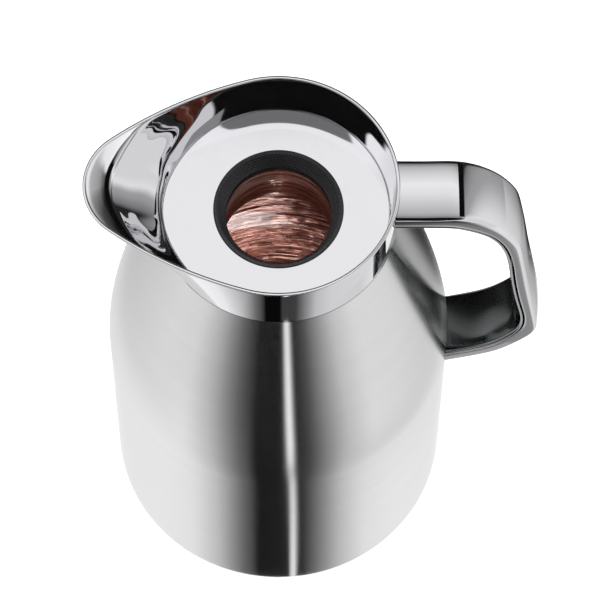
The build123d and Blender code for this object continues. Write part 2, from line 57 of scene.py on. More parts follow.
# %% Camera
sensor, focal_pixels, picture_pixels = 36, 4000, 600
pixels_aside, pixels_up = 21.5, 28.9
tilt = radians(66.77)
distance = 1660.2 * mm
watched = Vector((0, 0, 112 * mm))
forward = Vector((0, cos(tilt), -sin(tilt)))
upward = Vector((0, sin(tilt), cos(tilt)))
sideways = Vector((1, 0, 0))
aim = forward + sideways * (pixels_aside / focal_pixels) + upward * (pixels_up / focal_pixels)
aim.normalize()
view_right = (sideways - aim * sideways.dot(aim)).normalized()
camera_data = bpy.data.cameras.new("camera")
camera_data.lens = sensor * focal_pixels / picture_pixels
camera_data.sensor_width = sensor
camera_data.clip_start, camera_data.clip_end = 0.05, 20
camera = bpy.data.objects.new("camera", camera_data)
bpy.context.scene.collection.objects.link(camera)
camera.location = watched - forward * distance
camera.rotation_mode = "QUATERNION"
turned = Matrix((view_right, view_right.cross(aim), -aim)).transposed()
camera.rotation_quaternion = turned.to_quaternion()
bpy.context.scene.camera = camera
print("camera at", [round(c, 3) for c in camera.location])

# %% [markdown]
# ## Node helpers
# Materials are built from nodes. A small helper that makes a node, sets its values and links its
# inputs keeps each material short enough to read as a list of steps. An input is named by its
# label, with _ for a space, or by its number after the letter i.

# %% Node helpers
def add_node(tree, kind, settings=None, **inputs):
    """Adds a node, sets its properties, and fills or links its inputs by name."""
    node = tree.nodes.new(kind)
    for name, value in (settings or {}).items():
        setattr(node, name, value)
    for name, value in inputs.items():
        numbered = name[0] == "i" and name[1:].isdigit()
        socket = node.inputs[int(name[1:]) if numbered else name.replace("_", " ")]
        if isinstance(value, bpy.types.NodeSocket):
            tree.links.new(value, socket)
        else:
            socket.default_value = value
    return node


def math_of(tree, operation, first, second=0.0, third=0.0):
    """One Math node, whose three inputs are numbers or sockets."""
    settings = {"operation": operation}
    return add_node(tree, "ShaderNodeMath", settings, i0=first, i1=second, i2=third).outputs[0]


def product(tree, value, *factors):
    """Math nodes that multiply all the values."""
    for factor in factors:
        value = math_of(tree, "MULTIPLY", value, factor)
    return value


def highest(tree, value, *others):
    """Math nodes that keep the highest of the values."""
    for other in others:
        value = math_of(tree, "MAXIMUM", value, other)
    return value


def range_of(tree, value, low, high, start=0.0, end=1.0, **settings):
    """A value's place between low and high, told as a number from start to end."""
    made = add_node(tree, "ShaderNodeMapRange", settings, i0=value, i1=low, i2=high, i3=start, i4=end)
    return made.outputs[0]


def ramp_of(tree, factor, stops):
    """A colour ramp of greys or colours at the given places."""
    made = add_node(tree, "ShaderNodeValToRGB", i0=factor)
    elements = made.color_ramp.elements
    while len(elements) > 1:
        elements.remove(elements[-1])
    for index, (place, tone) in enumerate(stops):
        element = elements[0] if index == 0 else elements.new(place)
        element.position = place
        element.color = (*((tone,) * 3 if isinstance(tone, float) else tone), 1)
    return made.outputs["Color"]


def close_tree(tree, shader, kind="ShaderNodeOutputMaterial"):
    """Ends a tree with its output node."""
    out = add_node(tree, kind)
    tree.links.new(shader.outputs[0], out.inputs["Surface"])


print("node helpers ready")

# %% [markdown]
# ## Studio
# Polished metal has no look of its own: it shows the room. The room of this picture is a pale
# table, one large white softbox overhead, dark cloth round the camera, and grey walls. The dark
# cloth gives the black far wall of the basin. Every edge of the softbox goes by two slopes: how
# far a ray goes across, and how far along, for each step up.

# %% Room light
def room_tone(tree):
    """The grey that a reflection shows, by the way its ray goes."""
    looked = add_node(tree, "ShaderNodeTexCoord").outputs["Generated"]
    parts = add_node(tree, "ShaderNodeSeparateXYZ", i0=looked).outputs
    height = highest(tree, parts["Z"], 0.001)
    across = math_of(tree, "DIVIDE", parts["X"], height)
    along = math_of(tree, "DIVIDE", parts["Y"], height)
    backward = math_of(tree, "DIVIDE", parts["Y"], highest(tree, parts["X"], 0.001))

    def edge(value, start, end):
        return range_of(tree, value, start, end, interpolation_type="SMOOTHSTEP")

    bowed = math_of(tree, "MINIMUM", product(tree, across, across), 0.15)
    front = math_of(tree, "MULTIPLY_ADD", bowed, -1.6, along)
    fading = [(0.0, 1.15), (0.2, 1.15), (0.36, 1.0), (0.485, 1.0), (0.51, 0.62), (0.54, 0.42),
              (0.59, 0.15), (0.75, 0.03)]
    losing = [(0.045, 0.0), (0.065, 0.45), (0.12, 0.55), (0.2, 0.75), (0.34, 0.9)]
    lost = product(tree, ramp_of(tree, across, losing), edge(along, 0.36, 0.42))
    softbox = product(tree, edge(across, -0.72, -0.66), edge(across, 0.36, 0.34),
                      edge(front, -0.25, -0.20), ramp_of(tree, along, fading),
                      math_of(tree, "SUBTRACT", 1.0, lost), 0.94)
    falling = [(0.2, 0.76), (0.36, 0.86), (0.4, 0.8), (0.44, 0.67), (0.5, 0.48), (0.54, 0.39),
               (0.62, 0.36), (0.7, 0.3), (0.85, 0.2), (1.0, 0.02)]
    right_wall = product(tree, edge(across, 0.66, 0.74), ramp_of(tree, backward, falling))
    left_wall = product(tree, edge(across, -0.8, -0.9), edge(parts["Z"], 0.9, 0.2), 0.8)
    glow = product(tree, edge(across, -0.46, -0.42), edge(along, -0.42, -0.39), edge(along, 0.25, 0.15),
                   math_of(tree, "MULTIPLY_ADD", edge(across, 0.42, 0.65), 0.3, 0.2))
    return highest(tree, right_wall, left_wall, glow, 0.004, softbox)


def build_room():
    """Reflections see the toned room, and everything else sees plain white."""
    world = bpy.data.worlds.new("studio_room")
    world.use_nodes = True
    tree = world.node_tree
    tree.nodes.clear()
    path = add_node(tree, "ShaderNodeLightPath").outputs
    mirrored = add_node(tree, "ShaderNodeBackground", i0=room_tone(tree), Strength=1.0).outputs[0]
    plain = add_node(tree, "ShaderNodeBackground", i0=(1, 1, 1, 1), Strength=1.0).outputs[0]
    mixed = add_node(tree, "ShaderNodeMixShader", i0=path["Is Glossy Ray"], i1=plain, i2=mirrored)
    close_tree(tree, mixed, "ShaderNodeOutputWorld")
    bpy.context.scene.world = world
    return len(tree.nodes)


bpy.context.scene.view_settings.view_transform = "Standard"
print("room built from", build_room(), "nodes")

# %% [markdown]
# ## Table
# The table is one pale sheet. It glows a little for the lens and for reflections, so that it stays
# near white, and it is matt cloth for the lamp, so that it keeps the jug's shadow.

# %% Table
def empty_material(name):
    material = bpy.data.materials.new(name)
    material.use_nodes = True
    material.node_tree.nodes.clear()
    return material, material.node_tree


def stage_piece(bm, name, material):
    """Turns a bmesh into an object of the studio, which isn't part of the jug."""
    mesh = bpy.data.meshes.new(name)
    bm.to_mesh(mesh)
    bm.free()
    mesh.materials.append(material)
    piece = bpy.data.objects.new(name, mesh)
    bpy.context.scene.collection.objects.link(piece)
    return piece


def table_finish():
    material, tree = empty_material("pale_table")
    path = add_node(tree, "ShaderNodeLightPath").outputs
    seen = highest(tree, path["Is Camera Ray"], path["Is Glossy Ray"], path["Is Transmission Ray"])
    glow = add_node(tree, "ShaderNodeEmission", i0=(1, 1, 1, 1), Strength=product(tree, seen, 0.5))
    cloth = add_node(tree, "ShaderNodeBsdfDiffuse", i0=(0.8, 0.8, 0.8, 1))
    close_tree(tree, add_node(tree, "ShaderNodeAddShader", i0=glow.outputs[0], i1=cloth.outputs[0]))
    return material


table_half = 4.0
bm = bmesh.new()
bmesh.ops.create_grid(bm, x_segments=1, y_segments=1, size=table_half)
stage_piece(bm, "table", table_finish())
print("table", 2 * table_half, "m wide")

# %% [markdown]
# ## Cards on the table
# A brushed upright cylinder that is seen from above shows the table round it, fanned out by
# angle. A card that lies round the jug and is dark in front and pale at the sides gives the
# body its shading, and a thin bright strip on it gives the bright line. Only reflections see it,
# as a photographer would hide it from the lens. Each ring of card has its own tones, because the
# foot of the body shows the nearest ring and the shoulder shows the furthest one. A tone is a
# pair: an angle in degrees, 0 in front and 180 behind, and a grey.

# %% Card helpers
fan_centre, card_lift, card_segments = -35, 0.2, 96


def glow_by(tree, share, stops):
    """Ends a card's material with an emission, whose grey goes by a share from 0 to 1."""
    close_tree(tree, add_node(tree, "ShaderNodeEmission", i0=ramp_of(tree, share, stops), Strength=1.0))


def hide_from_lens(card):
    card.visible_camera = False
    card.visible_diffuse = False
    card.visible_shadow = False
    card.visible_transmission = False


def lay_card(name, inside, outside, tones):
    """A flat ring round the jug, whose grey goes by the angle round a point in front of the axis."""
    material, tree = empty_material(name)
    place = add_node(tree, "ShaderNodeTexCoord").outputs["Object"]
    parts = add_node(tree, "ShaderNodeSeparateXYZ", i0=place).outputs
    ahead = math_of(tree, "MULTIPLY_ADD", parts["Y"], -1.0, fan_centre * mm)
    turn = math_of(tree, "ARCTAN2", parts["X"], ahead)
    share = math_of(tree, "MULTIPLY_ADD", turn, 0.5 / pi, 0.5)
    glow_by(tree, share, [((angle + 180) / 360, tone) for angle, tone in tones])
    bm = bmesh.new()
    for radius in (inside, outside):
        bmesh.ops.create_circle(bm, cap_ends=False, radius=radius * mm, segments=card_segments)
    bmesh.ops.bridge_loops(bm, edges=bm.edges[:])
    bmesh.ops.translate(bm, verts=bm.verts[:], vec=(0, 0, card_lift * mm))
    hide_from_lens(stage_piece(bm, name, material))
    print(name, "from", inside, "to", outside, "mm, with", len(tones), "tones")


def strip(middle, peak):
    """The thin bright strip, as tones round its own angle."""
    shape = [(-5, 0.008), (-3, 0.06), (-0.9, peak), (0.9, peak), (3.2, 0.07), (5.5, 0.012)]
    return [(middle + away, tone) for away, tone in shape]


# %% Cards
white_left, white_right = [(-180, 1.0), (-76, 1.0)], [(76, 1.0), (180, 1.0)]
grey_left = [(-180, 0.05), (-165, 0.2), (-140, 0.6), (-76, 0.85)]
left = [(-57, 0.95), (-41, 0.62), (-33, 0.37), (-25, 0.17), (-19, 0.085), (-15.6, 0.03), (-14.2, 0.003)]
dim_left = [(-57, 0.8), (-41, 0.48), (-33, 0.26), (-25, 0.11), (-19, 0.045), (-15.6, 0.02),
            (-14.2, 0.003)]
shade = [(2.6, 0.003), (3.2, 0.05), (12.4, 0.05)]
right = [(19, 0.055), (25, 0.16), (33, 0.34), (41, 0.58), (57, 0.92)]
warm_right = [(19, 0.08), (25, 0.22), (33, 0.42), (41, 0.64), (57, 0.85)]
middle_right = [(57, 0.72), (90, 0.7), (115, 0.9), (180, 1.0)]
edge_right = [(57, 0.72), (90, 0.75), (128, 0.8), (134, 0.05), (150, 0.05), (160, 0.7), (180, 1.0)]
grip_right = [(76, 0.85), (117, 0.64), (122, 0.47), (126, 0.42), (130, 0.2), (133, 0.02), (150, 0.02),
              (180, 0.02)]
grey_right = [(76, 0.85), (112, 0.8), (117, 0.64), (119, 0.54), (121, 0.42), (124, 0.3), (128, 0.1),
              (132, 0.01), (180, 0.01)]
skyline = [(76, 0.9), (107, 0.86), (111.8, 0.8), (114, 0.66), (116.6, 0.47), (119, 0.36), (126, 0.28),
           (135, 0.08), (180, 0.02)]
lay_card("near_card", 70.4, 122, white_left + left + strip(10.2, 0.92) + right + white_right)
lay_card("middle_card", 122, 138, white_left + left + strip(8.5, 0.9) + right[:-1] + middle_right)
lay_card("collar_card", 138, 160, white_left + left + shade + right[:-1] + edge_right)
lay_card("far_card", 160, 230, grey_left + left + strip(7.0, 1.15) + right + grip_right)
lay_card("outer_card", 230, 640, grey_left + dim_left + strip(6.0, 1.05) + warm_right + grey_right)
lay_card("skyline_card", 640, 5700, grey_left + dim_left + strip(5.6, 0.55) + warm_right + skyline)

# %% [markdown]
# ## Card over the handle
# The handle's arm is nearly flat, so it shows one place in the room. A card over it is bright in
# its middle and greyer to the front and the back.

# %% Handle card
def hang_card():
    material, tree = empty_material("handle_card")
    place = add_node(tree, "ShaderNodeTexCoord").outputs["Object"]
    level = add_node(tree, "ShaderNodeSeparateXYZ", i0=place).outputs["Y"]
    stops = [(0.0, 0.3), (0.18, 0.42), (0.285, 0.58), (0.44, 0.88), (0.54, 0.97), (0.66, 0.72),
             (0.8, 0.3), (1.0, 0.05)]
    tones_per_metre = 10.0
    glow_by(tree, product(tree, level, tones_per_metre), stops)
    near, far, front, back, height = 47, 112, -40, 130, 350
    bm = bmesh.new()
    corners = ((near, front), (far, front), (far, back), (near, back))
    bm.faces.new([bm.verts.new((x * mm, y * mm, 0)) for x, y in corners])
    card = stage_piece(bm, "handle_card", material)
    card.location.z = height * mm
    hide_from_lens(card)
    print("handle card", far - near, "by", back - front, "mm, at", height, "mm")


hang_card()

# %% [markdown]
# ## Lamps
# One large soft lamp overhead lights what isn't metal and gives the shadow. A small lamp in the
# flask gives the glass its highlight, like the light that a bright room sends down the mouth.

# %% Lamps
def hang_lamp(name, kind, energy, place):
    data = bpy.data.lights.new(name, kind)
    data.energy = energy
    lamp = bpy.data.objects.new(name, data)
    bpy.context.scene.collection.objects.link(lamp)
    lamp.location = place
    return lamp


lamp = hang_lamp("overhead_lamp", "AREA", 16, (-0.3, 0.5, 1.9))
lamp.data.size = 1.4
lamp.rotation_mode = "QUATERNION"
lamp.rotation_quaternion = Vector((0.3, -0.5, -1.8)).to_track_quat("-Z", "Y")
lamp.visible_glossy = False
glint = hang_lamp("flask_glint", "POINT", 0.0042, (3 * mm, 21 * mm, 39 * mm))
glint.data.shadow_soft_size = 4 * mm
print("lamps", lamp.data.energy, "W and", round(glint.data.energy, 4), "W")

# %% [markdown]
# ## Shaping helpers
# Turned pieces come from one spin of a profile. The collar and the handle are lofts: a ring of
# vertices is extruded again and again, and each copy is moved to its next section.

# %% Shaping helpers
weld = 0.0005 * mm


def finish_piece(bm, name, body, material, replaces, sharp=38):
    """Turns a bmesh into a smooth-shaded piece on a body, with creases left sharp."""
    bmesh.ops.remove_doubles(bm, verts=bm.verts[:], dist=weld)
    bmesh.ops.recalc_face_normals(bm, faces=bm.faces[:])
    for face in bm.faces:
        face.smooth = True
    for e in bm.edges:
        if len(e.link_faces) == 2 and e.calc_face_angle(0) > radians(sharp):
            e.smooth = False
    mesh = bpy.data.meshes.new(name)
    bm.to_mesh(mesh)
    bm.free()
    mesh.materials.append(material)
    piece = bpy.data.objects.new(name, mesh)
    bpy.context.scene.collection.objects.link(piece)
    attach(piece, body)
    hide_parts(*replaces)
    print(name, len(mesh.polygons), "faces")
    return piece


def turned_piece(profile, steps):
    """Spins a closed profile of (radius, height) in millimetres round the jug's axis."""
    bm = bmesh.new()
    points = [bm.verts.new((radius * mm, 0, height * mm)) for radius, height in profile]
    rim = [bm.edges.new((a, b)) for a, b in zip(points, points[1:] + points[:1])]
    bmesh.ops.spin(bm, geom=points + rim, cent=(0, 0, 0), axis=(0, 0, 1), angle=2 * pi, steps=steps,
                   use_merge=True)
    bmesh.ops.remove_doubles(bm, verts=bm.verts[:], dist=weld)
    bmesh.ops.dissolve_degenerate(bm, edges=bm.edges[:], dist=weld)
    return bm


def extrude_ring(bm, ring, places):
    """Extrudes a closed ring of vertices and moves the copies. Returns them in the same order."""
    edges = [bm.edges.get(pair) for pair in zip(ring, ring[1:] + ring[:1])]
    made = bmesh.ops.extrude_edge_only(bm, edges=edges)["geom"]
    fresh = {v for v in made if isinstance(v, bmesh.types.BMVert)}
    copies = {}
    for v in fresh:
        for e in v.link_edges:
            if e.other_vert(v) not in fresh:
                copies[e.other_vert(v)] = v
    moved = [copies[v] for v in ring]
    for v, place in zip(moved, places):
        v.co = place
    return moved


def loft(sections, closed=False):
    """Skins a list of sections, each a list of points. A closed loft joins its last to its first."""
    bm = bmesh.new()
    ring = bmesh.ops.create_circle(bm, cap_ends=False, radius=1, segments=len(sections[0]))["verts"]
    for v, place in zip(ring, sections[0]):
        v.co = place
    first = ring
    for section in sections[1:]:
        ring = extrude_ring(bm, ring, section)
    ends = [[bm.edges.get(pair) for pair in zip(r, r[1:] + r[:1])] for r in (first, ring)]
    if closed:
        bmesh.ops.bridge_loops(bm, edges=ends[0] + ends[1])
    else:
        for edges in ends:
            bmesh.ops.triangle_fill(bm, edges=edges, use_beauty=True)
        bmesh.ops.holes_fill(bm, edges=[e for e in bm.edges if e.is_boundary], sides=0)
    return bm


def smooth_run(rows, first_slope, last_slope, count):
    """A smooth run of rows through the given ones: a cubic spline along their chord length."""
    rows = np.array(rows, float)
    step = np.linalg.norm(np.diff(rows[:, :2], axis=0), axis=1)
    reached = np.concatenate([[0], np.cumsum(step)])
    last = len(rows) - 1
    grid, wanted = np.zeros((last + 1, last + 1)), np.zeros_like(rows)
    grid[0, 0] = grid[last, last] = 1
    wanted[0], wanted[last] = first_slope, last_slope
    for i in range(1, last):
        before, after = step[i - 1], step[i]
        grid[i, i - 1], grid[i, i], grid[i, i + 1] = after, 2 * (before + after), before
        wanted[i] = 3 * (after * (rows[i] - rows[i - 1]) / before + before * (rows[i + 1] - rows[i]) / after)
    slope = np.linalg.solve(grid, wanted)
    at = np.linspace(0, reached[-1], count)
    k = np.clip(np.searchsorted(reached, at, side="right") - 1, 0, last - 1)
    h = step[k][:, None]
    u = (at - reached[k])[:, None] / h
    kept = rows[k] * (2 * u**3 - 3 * u**2 + 1) + rows[k + 1] * (3 * u**2 - 2 * u**3)
    return kept + h * (slope[k] * (u**3 - 2 * u**2 + u) + slope[k + 1] * (u**3 - u**2))


def arc_points(centre, radius, start, end, count):
    """Points on an arc in the profile, from one angle in degrees to another."""
    turns = [radians(start + (end - start) * i / count) for i in range(count + 1)]
    return [(centre[0] + radius * cos(t), centre[1] + radius * sin(t)) for t in turns]


def bezier_points(p0, p1, p2, p3, count):
    flat = [Vector((x, z, 0)) for x, z in (p0, p1, p2, p3)]
    return [(v.x, v.y) for v in interpolate_bezier(*flat, count)]


print("shaping helpers ready, seams closed within", round(weld / mm, 4), "mm")

# %% [markdown]
# ## Polished chrome
# Chrome plate is a mirror with a faint unevenness: very fine wiping marks change how sharp it
# is, and a shallow waviness bends long reflections. Both come from noise in Object coordinates.

# %% Chrome
def new_finish(name):
    material = bpy.data.materials.new(name)
    material.use_nodes = True
    tree = material.node_tree
    shader = tree.nodes["Principled BSDF"]
    place = add_node(tree, "ShaderNodeTexCoord").outputs["Object"]
    return material, tree, shader, place


def noise_of(tree, place, scale, detail, **others):
    """Noise of one scale, or of three, which stretch it into a grain."""
    if isinstance(scale, tuple):
        place = add_node(tree, "ShaderNodeMapping", Vector=place, Scale=scale).outputs[0]
        scale = 1.0
    made = add_node(tree, "ShaderNodeTexNoise", Vector=place, Scale=scale, Detail=detail, **others)
    return made.outputs[0]


def add_bump(tree, shader, height, strength, depth):
    bump = add_node(tree, "ShaderNodeBump", Strength=strength, Distance=depth * mm, Height=height)
    tree.links.new(bump.outputs[0], shader.inputs["Normal"])


def chrome_finish(name, colour, smoothest=0.02, roughest=0.06, wave=0.02):
    material, tree, shader, place = new_finish(name)
    wiping = noise_of(tree, place, 420.0, 4.0, Roughness=0.6)
    spots = noise_of(tree, place, 46.0, 3.0)
    rough = range_of(tree, product(tree, wiping, spots), 0.15, 0.42, smoothest, roughest)
    tree.links.new(rough, shader.inputs["Roughness"])
    add_bump(tree, shader, noise_of(tree, place, 24.0, 1.0), wave, 0.4)
    shader.inputs["Base Color"].default_value = (*colour, 1)
    shader.inputs["Metallic"].default_value = 1.0
    return material


chrome = chrome_finish("polished_chrome", (0.83, 0.83, 0.85))
deck_chrome = chrome_finish("deck_chrome", (0.85, 0.845, 0.87), 0.03, 0.07, 0.008)
# The cover's chrome is darkened: painted reflection of its dark surroundings, not a darker metal.
dark_painted_cover_chrome = chrome_finish("dark_painted_cover_chrome", (0.34, 0.36, 0.36), 0.03, 0.08, 0.02)


def strap_finish():
    """The strap's chrome, whose two flat sides get a darker colour: painted shade, standing in for the grey
    that they reflect.
    """
    bright, painted_side_shade = (0.83, 0.83, 0.85), (0.27, 0.265, 0.275)
    material = chrome_finish("strap_chrome", bright)
    tree = material.node_tree
    normal = add_node(tree, "ShaderNodeTexCoord").outputs["Normal"]
    facing = add_node(tree, "ShaderNodeSeparateXYZ", i0=normal).outputs["Y"]
    flat = range_of(tree, math_of(tree, "ABSOLUTE", facing), 0.9, 0.99)
    # Faces that look to the front or the back take the dark colour: painted shade on the same chrome, not a
    # satin finish.
    tint = ramp_of(tree, flat, [(0.0, bright), (1.0, painted_side_shade)])
    tree.links.new(tint, tree.nodes["Principled BSDF"].inputs["Base Color"])
    return material


strap_chrome = strap_finish()
print("chromes:", chrome.name, deck_chrome.name, dark_painted_cover_chrome.name, strap_chrome.name)

# %% [markdown]
# ## Brushed steel
# The belt leaves fine rings round the body. Each ring is a tiny groove, so a highlight spreads up
# and down across the grooves and stays sharp round the body: that is what anisotropy gives, with
# its tangent turned round the jug's axis.

# %% Brushed steel
def brushed_finish():
    material, tree, shader, place = new_finish("brushed_steel")
    lines = noise_of(tree, place, (3.0, 3.0, 1500.0), 3.0, Roughness=0.7)
    bands = noise_of(tree, place, (5.0, 5.0, 160.0), 2.0)
    tree.links.new(range_of(tree, lines, 0.3, 0.7, 0.155, 0.175), shader.inputs["Roughness"])
    tone = math_of(tree, "MULTIPLY_ADD", lines, 0.4, product(tree, bands, 0.6))
    tint = ramp_of(tree, tone, [(0.3, (0.785, 0.78, 0.785)), (0.7, (0.815, 0.81, 0.815))])
    tree.links.new(tint, shader.inputs["Base Color"])
    add_bump(tree, shader, lines, 0.02, 0.03)
    along = add_node(tree, "ShaderNodeTangent", {"direction_type": "RADIAL", "axis": "Z"})
    tree.links.new(along.outputs[0], shader.inputs["Tangent"])
    shader.inputs["Metallic"].default_value = 1.0
    shader.inputs["Anisotropic"].default_value = 1.0
    shader.inputs["Anisotropic Rotation"].default_value = 0.25
    return material


brushed = brushed_finish()
print(brushed.name, "from", len(brushed.node_tree.nodes), "nodes")

# %% [markdown]
# ## Rubber, plastic, felt and plain steel
# The black parts differ by their sheen: rubber is smooth and a little glossy, and moulded plastic
# has a fine matt grain. Each finish gets a broad colour change and a fine grain of its own size.

# %% Grained finishes
def grained_finish(name, dark, light, grain, depth, roughest, metal=0.0):
    material, tree, shader, place = new_finish(name)
    tint = ramp_of(tree, noise_of(tree, place, 60.0, 4.0), [(0.35, dark), (0.65, light)])
    tree.links.new(tint, shader.inputs["Base Color"])
    fine = noise_of(tree, place, grain, 2.0)
    rough = range_of(tree, fine, 0.3, 0.7, roughest * 0.8, roughest)
    tree.links.new(rough, shader.inputs["Roughness"])
    add_bump(tree, shader, fine, 0.3, depth)
    shader.inputs["Metallic"].default_value = metal
    return material


rubber = grained_finish("black_rubber", (0.014, 0.014, 0.015), (0.019, 0.019, 0.021), 1800.0, 0.002, 0.3)
plastic = grained_finish("black_plastic", (0.022, 0.022, 0.024), (0.032, 0.032, 0.034), 2600.0, 0.05, 0.55)
felt = grained_finish("spacer_felt", (0.62, 0.60, 0.55), (0.74, 0.72, 0.66), 3000.0, 0.2, 0.9)
steel = grained_finish("bracket_steel", (0.50, 0.50, 0.51), (0.60, 0.60, 0.61), 900.0, 0.01, 0.35, 1.0)
print("grained finishes:", rubber.name, plastic.name, felt.name, steel.name)

# %% [markdown]
# ## Copper-mirrored glass
# The flask's inside is blown glass over a copper-coloured mirror. Blown glass is never even: rings
# and ripples from the blowing bend the reflections into streaks, which makes the flask look deep. Its colour
# also runs from brown through copper to a pale rose along the rings, and the pale rose is painted highlight.

# %% Mirrored glass
def mirror_glass_finish():
    material, tree, shader, place = new_finish("copper_mirror_glass")
    rings = noise_of(tree, place, (16.0, 16.0, 170.0), 3.0, Distortion=0.8)
    threads = noise_of(tree, place, (20.0, 20.0, 620.0), 2.0)
    blobs = noise_of(tree, place, 80.0, 2.0)
    wavy = math_of(tree, "MULTIPLY_ADD", rings, 0.65, product(tree, blobs, 0.25))
    wavy = math_of(tree, "MULTIPLY_ADD", threads, 0.12, wavy)
    add_bump(tree, shader, wavy, 0.9, 2.2)
    tone = math_of(tree, "MULTIPLY_ADD", rings, 0.6, product(tree, threads, 0.4))
    # The pale rose stop paints light streaks into the colour along the rings: painted highlights.
    brown, copper, painted_highlight = (0.36, 0.11, 0.07), (0.52, 0.215, 0.16), (0.90, 0.60, 0.50)
    tint = ramp_of(tree, tone, [(0.42, brown), (0.52, copper), (0.59, painted_highlight)])
    tree.links.new(tint, shader.inputs["Base Color"])
    shader.inputs["Metallic"].default_value = 0.5
    shader.inputs["Roughness"].default_value = 0.14
    shader.inputs["Coat Weight"].default_value = 0.4
    shader.inputs["Coat Roughness"].default_value = 0.03
    return material


mirror_glass = mirror_glass_finish()
print(mirror_glass.name, "from", len(mirror_glass.node_tree.nodes), "nodes")

# %% [markdown]
# ## Shell
# The body is one spun wall: straight up to its shoulder, then a long curve in to the mouth. Its
# foot is turned under in a small hem. The profile is the same curve as the solid's.

# %% Shell
shell_radius, shell_wall, shell_foot, shell_round, shell_top = 70.0, 0.7, 0.6, 2.4, 226.2
shoulder, mouth, hem, flange = 114.6, 46.4, 66.2, 41.0
shoulder_pull, neck_radius, neck_pull = 31.3, 54.5, 29.4


def shoulder_points(inset, count):
    """The curve from the straight wall to the mouth, for the outside or, set in, the inside."""
    top = shell_top - inset
    return bezier_points((shell_radius - inset, shoulder), (shell_radius - inset, shoulder + shoulder_pull),
                         (neck_radius - inset, top - neck_pull), (mouth - inset, top), count)


def build_shell():
    corner = (shell_radius - shell_round, shell_foot + shell_round)
    profile = [(hem, shell_foot)] + arc_points(corner, shell_round, -90, 0, 8)
    profile += [(shell_radius, z) for z in np.linspace(12, 104, 12)]
    profile += shoulder_points(0, 40)
    profile += [(flange, shell_top), (flange, shell_top - shell_wall)]
    profile += shoulder_points(shell_wall, 24)[::-1]
    profile += arc_points(corner, shell_round - shell_wall, 0, -90, 6) + [(hem, shell_foot + shell_wall)]
    return finish_piece(turned_piece(profile, 256), "shell_skin", "jug", brushed,
                        ["outer_shell"])


build_shell()

# %% [markdown]
# ## Outline of the collar
# Seen from above, the rim is a circle, a small circle for the spout's tip, and two long arcs that
# touch both. Going down, the spout's reach shrinks until the outline is a plain circle.

# %% Rim outline
rim_radius, spout_reach, tip_radius, flank_radius = 46.7, 75.2, 24.0, 162.0


def teardrop_radius(angle, inset):
    """Distance from the axis to the rim outline, at an angle from the spout's middle."""
    big, small, flank = rim_radius - inset, tip_radius - inset, flank_radius - inset
    tip_x = spout_reach - tip_radius
    centre_x = ((flank - small) ** 2 - (flank - big) ** 2 - tip_x**2) / (2 * tip_x)
    centre_y = -sqrt((flank - big) ** 2 - centre_x**2)
    big_touch = pi / 2 - asin(centre_x / (flank - big))
    touch_x = tip_x + small * (tip_x + centre_x) / (flank - small)
    touch_y = -small * centre_y / (flank - small)
    tip_touch = asin(touch_y / sqrt(touch_x**2 + touch_y**2))
    if angle >= big_touch:
        return big
    if angle <= tip_touch:
        return tip_x * cos(angle) + sqrt(small**2 - (tip_x * sin(angle)) ** 2)
    along = -centre_x * cos(angle) + centre_y * sin(angle)
    return along + sqrt(flank**2 - centre_x**2 - centre_y**2 + along**2)


def outline(radius, reach, inset, height, flank_reach=None, count=320):
    """One level of the collar: reach 0 is a plain circle, and reach 1 has the full spout."""
    flank_reach = reach if flank_reach is None else flank_reach
    places = []
    for step in range(count):
        turn = 2 * pi * step / count - pi
        swell = teardrop_radius(abs(turn), inset) - (rim_radius - inset)
        share = min(1, max(0, (abs(turn) - radians(10)) / radians(22)))
        flank = share * share * (3 - 2 * share)
        away = (radius + (reach + (flank_reach - reach) * flank) * swell) * mm
        places.append(Vector((-away * cos(turn), away * sin(turn), height * mm)))
    return places


print("rim", 2 * rim_radius, "mm across, spout", spout_reach, "mm from the axis")

# %% [markdown]
# ## Collar
# The collar is one closed loft: up its outside, over the rounded rim, down the basin's wall to a
# small cove, and on through the threaded spigot below. Each row of the basin has its share of the
# depth, its radius, and how far the spout's middle and its flanks have opened by then. The wall
# stays nearly upright, because a wall that leans would mirror the flask and not the dark room.

# %% Collar
collar_foot, collar_height, collar_wall, rim_round = 226.7, 25.6, 1.5, 0.5
collar_top = collar_foot + collar_height
ledge_top, deck_foot, deck_top = 228.4, 228.9, 230.1
spigot_inside, spigot_outside, spigot_foot = 38.5, 40.6, 206.7
basin_radius, cove, cove_reach, foot_radius, foot_reach = 43.2, 1.0, 0.08, 43.0, 0.067
outer_shares = ((0, 0), (0.34, 0.36), (0.68, 0.7), (1, 1))
basin_shares = ((0.36, 43.65, 0.1, 0.3), (0.63, 44.11, 0.38, 0.66), (0.8, 44.62, 0.55, 0.83),
                (0.9, 44.94, 0.65, 0.92), (0.965, 45.155, 0.8, 0.97), (1, 45.28, 1, 1))


